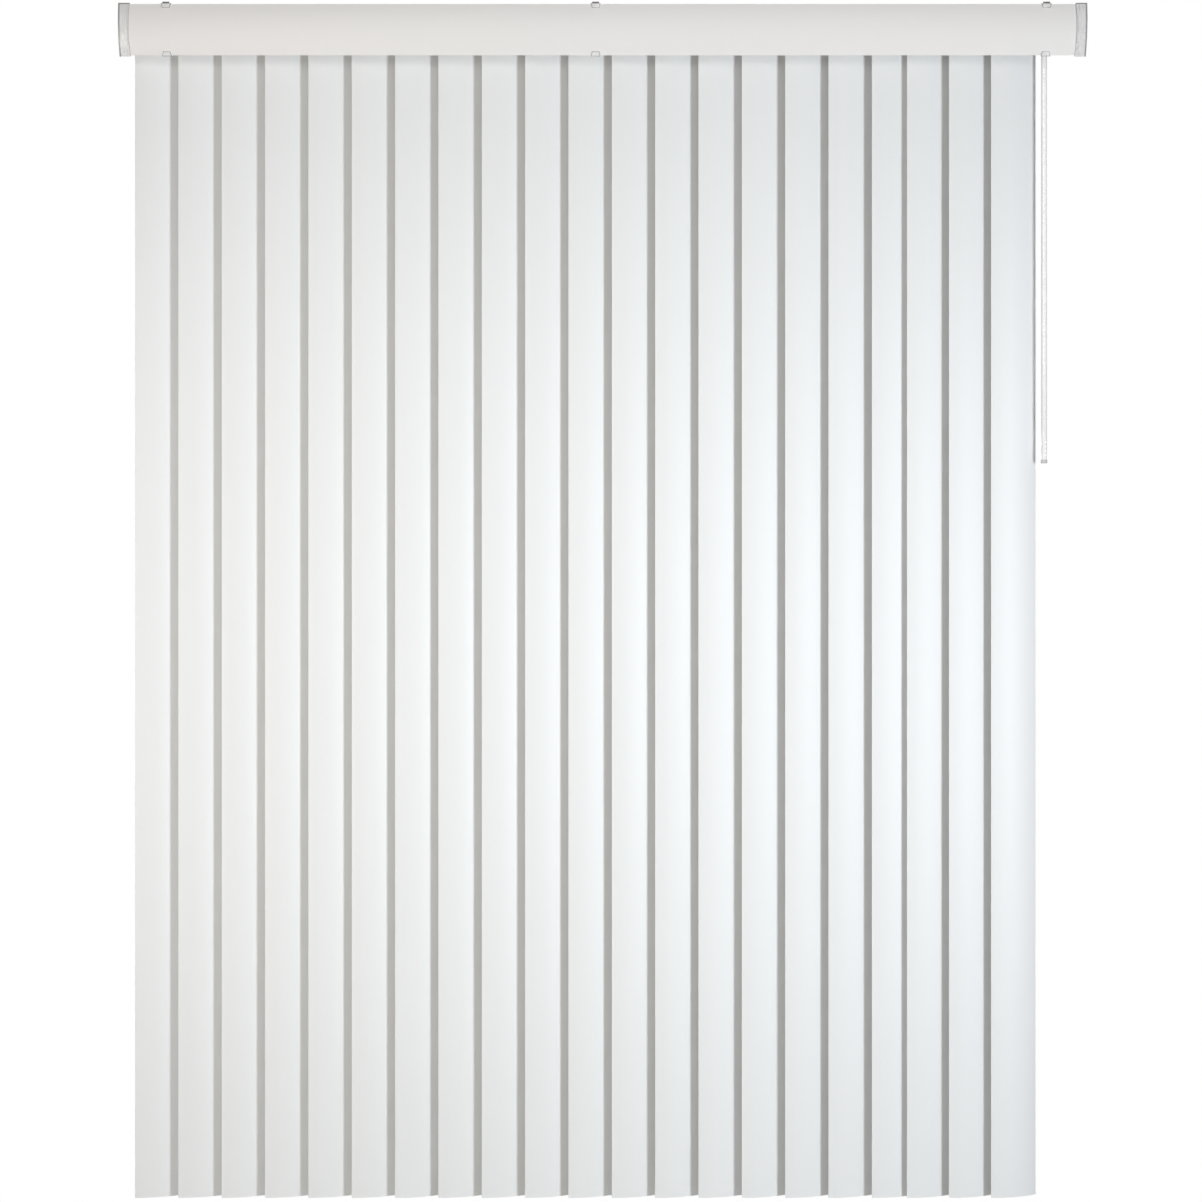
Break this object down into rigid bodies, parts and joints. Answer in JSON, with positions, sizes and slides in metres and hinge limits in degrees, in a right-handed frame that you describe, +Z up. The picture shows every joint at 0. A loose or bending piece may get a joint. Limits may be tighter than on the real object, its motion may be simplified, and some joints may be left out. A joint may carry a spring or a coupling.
{
  "type": "vertical blind",
  "caption": "Vertical blind: crowned PVC vanes hang from rolling carriers in a headrail behind a curved valance, with a clear wand that draws and tilts them.",
  "frame": {"origin": "centre of the outer brackets' screw holes, on the ceiling plane", "axes": "+X to the viewer's right, +Y to the back (the window), +Z up"},
  "size_m": [1.7174, 0.0953, 2.134],
  "materials": {
    "vane_pvc": "satin white PVC",
    "valance_pvc": "satin white PVC",
    "valance_end": "translucent moulded plastic",
    "clip_clear": "clear moulded plastic",
    "wand_clear": "clear extruded plastic",
    "wand_fitting": "frosted moulded plastic",
    "rail_white": "white powder coat on an aluminium extrusion",
    "cap_white": "moulded white plastic",
    "bracket_steel": "zinc-plated spring steel",
    "rod_aluminium": "mill-finish extrusion",
    "carrier_nylon": "moulded off-white nylon"
  },
  "bodies": {
    "frame": {"headrail": "rail_white", "end_cap_left": "cap_white", "end_cap_right": "cap_white", "bracket_left": "bracket_steel", "bracket_centre": "bracket_steel", "bracket_right": "bracket_steel", "valance_strip": "valance_pvc", "valance_end_left": "valance_end", "valance_end_right": "valance_end", "valance_clip_left": "clip_clear", "valance_clip_centre": "clip_clear", "valance_clip_right": "clip_clear", "carrier_01": "carrier_nylon"},
    "tilt_rod": {"tilt_rod": "rod_aluminium"},
    "carrier_02": {"carrier_02": "carrier_nylon"},
    "carrier_03": {"carrier_03": "carrier_nylon"},
    "carrier_04": {"carrier_04": "carrier_nylon"},
    "carrier_05": {"carrier_05": "carrier_nylon"},
    "carrier_06": {"carrier_06": "carrier_nylon"},
    "carrier_07": {"carrier_07": "carrier_nylon"},
    "carrier_08": {"carrier_08": "carrier_nylon"},
    "carrier_09": {"carrier_09": "carrier_nylon"},
    "carrier_10": {"carrier_10": "carrier_nylon"},
    "carrier_11": {"carrier_11": "carrier_nylon"},
    "carrier_12": {"carrier_12": "carrier_nylon"},
    "carrier_13": {"carrier_13": "carrier_nylon"},
    "carrier_14": {"carrier_14": "carrier_nylon"},
    "carrier_15": {"carrier_15": "carrier_nylon"},
    "carrier_16": {"carrier_16": "carrier_nylon"},
    "carrier_17": {"carrier_17": "carrier_nylon"},
    "carrier_18": {"carrier_18": "carrier_nylon"},
    "carrier_19": {"carrier_19": "carrier_nylon"},
    "carrier_20": {"carrier_20": "carrier_nylon"},
    "carrier_21": {"carrier_21": "carrier_nylon"},
    "vane_01": {"vane_01": "vane_pvc"},
    "vane_02": {"vane_02": "vane_pvc"},
    "vane_03": {"vane_03": "vane_pvc"},
    "vane_04": {"vane_04": "vane_pvc"},
    "vane_05": {"vane_05": "vane_pvc"},
    "vane_06": {"vane_06": "vane_pvc"},
    "vane_07": {"vane_07": "vane_pvc"},
    "vane_08": {"vane_08": "vane_pvc"},
    "vane_09": {"vane_09": "vane_pvc"},
    "vane_10": {"vane_10": "vane_pvc"},
    "vane_11": {"vane_11": "vane_pvc"},
    "vane_12": {"vane_12": "vane_pvc"},
    "vane_13": {"vane_13": "vane_pvc"},
    "vane_14": {"vane_14": "vane_pvc"},
    "vane_15": {"vane_15": "vane_pvc"},
    "vane_16": {"vane_16": "vane_pvc"},
    "vane_17": {"vane_17": "vane_pvc"},
    "vane_18": {"vane_18": "vane_pvc"},
    "vane_19": {"vane_19": "vane_pvc"},
    "vane_20": {"vane_20": "vane_pvc"},
    "vane_21": {"vane_21": "vane_pvc"},
    "wand_stem": {"wand_stem": "carrier_nylon"},
    "wand": {"wand_top_clip": "wand_fitting", "wand_rod": "wand_clear", "wand_tip": "wand_fitting"}
  },
  "joints": [
    {"name": "lead_traverse", "type": "slide", "parent": "frame", "child": "carrier_21", "axis": [-1, 0, 0], "range_m": [0, 1.1965]},
    {"name": "traverse_02", "type": "slide", "parent": "frame", "child": "carrier_02", "axis": [-1, 0, 0], "range_m": [0, 0.0608]},
    {"name": "traverse_03", "type": "slide", "parent": "frame", "child": "carrier_03", "axis": [-1, 0, 0], "range_m": [0, 0.1216]},
    {"name": "traverse_04", "type": "slide", "parent": "frame", "child": "carrier_04", "axis": [-1, 0, 0], "range_m": [0, 0.18239]},
    {"name": "traverse_05", "type": "slide", "parent": "frame", "child": "carrier_05", "axis": [-1, 0, 0], "range_m": [0, 0.24319]},
    {"name": "traverse_06", "type": "slide", "parent": "frame", "child": "carrier_06", "axis": [-1, 0, 0], "range_m": [0, 0.30399]},
    {"name": "traverse_07", "type": "slide", "parent": "frame", "child": "carrier_07", "axis": [-1, 0, 0], "range_m": [0, 0.36479]},
    {"name": "traverse_08", "type": "slide", "parent": "frame", "child": "carrier_08", "axis": [-1, 0, 0], "range_m": [0, 0.42558]},
    {"name": "traverse_09", "type": "slide", "parent": "frame", "child": "carrier_09", "axis": [-1, 0, 0], "range_m": [0, 0.48638]},
    {"name": "traverse_10", "type": "slide", "parent": "frame", "child": "carrier_10", "axis": [-1, 0, 0], "range_m": [0, 0.54718]},
    {"name": "traverse_11", "type": "slide", "parent": "frame", "child": "carrier_11", "axis": [-1, 0, 0], "range_m": [0, 0.60798]},
    {"name": "traverse_12", "type": "slide", "parent": "frame", "child": "carrier_12", "axis": [-1, 0, 0], "range_m": [0, 0.66877]},
    {"name": "traverse_13", "type": "slide", "parent": "frame", "child": "carrier_13", "axis": [-1, 0, 0], "range_m": [0, 0.72957]},
    {"name": "traverse_14", "type": "slide", "parent": "frame", "child": "carrier_14", "axis": [-1, 0, 0], "range_m": [0, 0.79037]},
    {"name": "traverse_15", "type": "slide", "parent": "frame", "child": "carrier_15", "axis": [-1, 0, 0], "range_m": [0, 0.85117]},
    {"name": "traverse_16", "type": "slide", "parent": "frame", "child": "carrier_16", "axis": [-1, 0, 0], "range_m": [0, 0.91196]},
    {"name": "traverse_17", "type": "slide", "parent": "frame", "child": "carrier_17", "axis": [-1, 0, 0], "range_m": [0, 0.97276]},
    {"name": "traverse_18", "type": "slide", "parent": "frame", "child": "carrier_18", "axis": [-1, 0, 0], "range_m": [0, 1.03356]},
    {"name": "traverse_19", "type": "slide", "parent": "frame", "child": "carrier_19", "axis": [-1, 0, 0], "range_m": [0, 1.07957]},
    {"name": "traverse_20", "type": "slide", "parent": "frame", "child": "carrier_20", "axis": [-1, 0, 0], "range_m": [0, 1.13804]},
    {"name": "tilt_01", "type": "hinge", "parent": "frame", "child": "vane_01", "pos_m": [-0.795, 0, -0.036], "axis": [0, 0, 1], "range_deg": [0, 144]},
    {"name": "tilt_02", "type": "hinge", "parent": "carrier_02", "child": "vane_02", "pos_m": [-0.7172, 0, -0.036], "axis": [0, 0, 1], "range_deg": [0, 144]},
    {"name": "tilt_03", "type": "hinge", "parent": "carrier_03", "child": "vane_03", "pos_m": [-0.63941, 0, -0.036], "axis": [0, 0, 1], "range_deg": [0, 144]},
    {"name": "tilt_04", "type": "hinge", "parent": "carrier_04", "child": "vane_04", "pos_m": [-0.56161, 0, -0.036], "axis": [0, 0, 1], "range_deg": [0, 144]},
    {"name": "tilt_05", "type": "hinge", "parent": "carrier_05", "child": "vane_05", "pos_m": [-0.48381, 0, -0.036], "axis": [0, 0, 1], "range_deg": [0, 144]},
    {"name": "tilt_06", "type": "hinge", "parent": "carrier_06", "child": "vane_06", "pos_m": [-0.40601, 0, -0.036], "axis": [0, 0, 1], "range_deg": [0, 144]},
    {"name": "tilt_07", "type": "hinge", "parent": "carrier_07", "child": "vane_07", "pos_m": [-0.32821, 0, -0.036], "axis": [0, 0, 1], "range_deg": [0, 144]},
    {"name": "tilt_08", "type": "hinge", "parent": "carrier_08", "child": "vane_08", "pos_m": [-0.25042, 0, -0.036], "axis": [0, 0, 1], "range_deg": [0, 144]},
    {"name": "tilt_09", "type": "hinge", "parent": "carrier_09", "child": "vane_09", "pos_m": [-0.17262, 0, -0.036], "axis": [0, 0, 1], "range_deg": [0, 144]},
    {"name": "tilt_10", "type": "hinge", "parent": "carrier_10", "child": "vane_10", "pos_m": [-0.09482, 0, -0.036], "axis": [0, 0, 1], "range_deg": [0, 144]},
    {"name": "tilt_11", "type": "hinge", "parent": "carrier_11", "child": "vane_11", "pos_m": [-0.01702, 0, -0.036], "axis": [0, 0, 1], "range_deg": [0, 144]},
    {"name": "tilt_12", "type": "hinge", "parent": "carrier_12", "child": "vane_12", "pos_m": [0.06077, 0, -0.036], "axis": [0, 0, 1], "range_deg": [0, 144]},
    {"name": "tilt_13", "type": "hinge", "parent": "carrier_13", "child": "vane_13", "pos_m": [0.13857, 0, -0.036], "axis": [0, 0, 1], "range_deg": [0, 144]},
    {"name": "tilt_14", "type": "hinge", "parent": "carrier_14", "child": "vane_14", "pos_m": [0.21637, 0, -0.036], "axis": [0, 0, 1], "range_deg": [0, 144]},
    {"name": "tilt_15", "type": "hinge", "parent": "carrier_15", "child": "vane_15", "pos_m": [0.29417, 0, -0.036], "axis": [0, 0, 1], "range_deg": [0, 144]},
    {"name": "tilt_16", "type": "hinge", "parent": "carrier_16", "child": "vane_16", "pos_m": [0.37196, 0, -0.036], "axis": [0, 0, 1], "range_deg": [0, 144]},
    {"name": "tilt_17", "type": "hinge", "parent": "carrier_17", "child": "vane_17", "pos_m": [0.44976, 0, -0.036], "axis": [0, 0, 1], "range_deg": [0, 144]},
    {"name": "tilt_18", "type": "hinge", "parent": "carrier_18", "child": "vane_18", "pos_m": [0.52756, 0, -0.036], "axis": [0, 0, 1], "range_deg": [0, 144]},
    {"name": "tilt_19", "type": "hinge", "parent": "carrier_19", "child": "vane_19", "pos_m": [0.59057, 0, -0.036], "axis": [0, 0, 1], "range_deg": [0, 144]},
    {"name": "tilt_20", "type": "hinge", "parent": "carrier_20", "child": "vane_20", "pos_m": [0.66604, 0, -0.036], "axis": [0, 0, 1], "range_deg": [0, 144]},
    {"name": "tilt_21", "type": "hinge", "parent": "carrier_21", "child": "vane_21", "pos_m": [0.7415, 0, -0.036], "axis": [0, 0, 1], "range_deg": [0, 144]},
    {"name": "rod_spin", "type": "hinge", "parent": "frame", "child": "tilt_rod", "pos_m": [0, 0.0085, -0.02], "axis": [1, 0, 0], "range_deg": [0, 1440]},
    {"name": "wand_spin", "type": "hinge", "parent": "carrier_21", "child": "wand_stem", "pos_m": [0.7935, 0, -0.036], "axis": [0, 0, 1], "range_deg": [0, 1440]},
    {"name": "wand_swing", "type": "hinge", "parent": "wand_stem", "child": "wand", "pos_m": [0.7935, 0, -0.0465], "axis": [1, 0, 0], "range_deg": [-35, 20]}
  ],
  "couplings": [
    {"joint": "traverse_02", "follows": "lead_traverse", "ratio": 0.050813},
    {"joint": "traverse_03", "follows": "lead_traverse", "ratio": 0.10163},
    {"joint": "traverse_04", "follows": "lead_traverse", "ratio": 0.15244},
    {"joint": "traverse_05", "follows": "lead_traverse", "ratio": 0.20325},
    {"joint": "traverse_06", "follows": "lead_traverse", "ratio": 0.25406},
    {"joint": "traverse_07", "follows": "lead_traverse", "ratio": 0.30488},
    {"joint": "traverse_08", "follows": "lead_traverse", "ratio": 0.35569},
    {"joint": "traverse_09", "follows": "lead_traverse", "ratio": 0.4065},
    {"joint": "traverse_10", "follows": "lead_traverse", "ratio": 0.45731},
    {"joint": "traverse_11", "follows": "lead_traverse", "ratio": 0.50813},
    {"joint": "traverse_12", "follows": "lead_traverse", "ratio": 0.55894},
    {"joint": "traverse_13", "follows": "lead_traverse", "ratio": 0.60975},
    {"joint": "traverse_14", "follows": "lead_traverse", "ratio": 0.66057},
    {"joint": "traverse_15", "follows": "lead_traverse", "ratio": 0.71138},
    {"joint": "traverse_16", "follows": "lead_traverse", "ratio": 0.76219},
    {"joint": "traverse_17", "follows": "lead_traverse", "ratio": 0.813},
    {"joint": "traverse_18", "follows": "lead_traverse", "ratio": 0.86382},
    {"joint": "traverse_19", "follows": "lead_traverse", "ratio": 0.90228},
    {"joint": "traverse_20", "follows": "lead_traverse", "ratio": 0.95114},
    {"joint": "tilt_02", "follows": "tilt_01", "ratio": 1},
    {"joint": "tilt_03", "follows": "tilt_01", "ratio": 1},
    {"joint": "tilt_04", "follows": "tilt_01", "ratio": 1},
    {"joint": "tilt_05", "follows": "tilt_01", "ratio": 1},
    {"joint": "tilt_06", "follows": "tilt_01", "ratio": 1},
    {"joint": "tilt_07", "follows": "tilt_01", "ratio": 1},
    {"joint": "tilt_08", "follows": "tilt_01", "ratio": 1},
    {"joint": "tilt_09", "follows": "tilt_01", "ratio": 1},
    {"joint": "tilt_10", "follows": "tilt_01", "ratio": 1},
    {"joint": "tilt_11", "follows": "tilt_01", "ratio": 1},
    {"joint": "tilt_12", "follows": "tilt_01", "ratio": 1},
    {"joint": "tilt_13", "follows": "tilt_01", "ratio": 1},
    {"joint": "tilt_14", "follows": "tilt_01", "ratio": 1},
    {"joint": "tilt_15", "follows": "tilt_01", "ratio": 1},
    {"joint": "tilt_16", "follows": "tilt_01", "ratio": 1},
    {"joint": "tilt_17", "follows": "tilt_01", "ratio": 1},
    {"joint": "tilt_18", "follows": "tilt_01", "ratio": 1},
    {"joint": "tilt_19", "follows": "tilt_01", "ratio": 1},
    {"joint": "tilt_20", "follows": "tilt_01", "ratio": 1},
    {"joint": "tilt_21", "follows": "tilt_01", "ratio": 1},
    {"joint": "rod_spin", "follows": "tilt_01", "ratio": 10},
    {"joint": "wand_spin", "follows": "tilt_01", "ratio": 10}
  ]
}
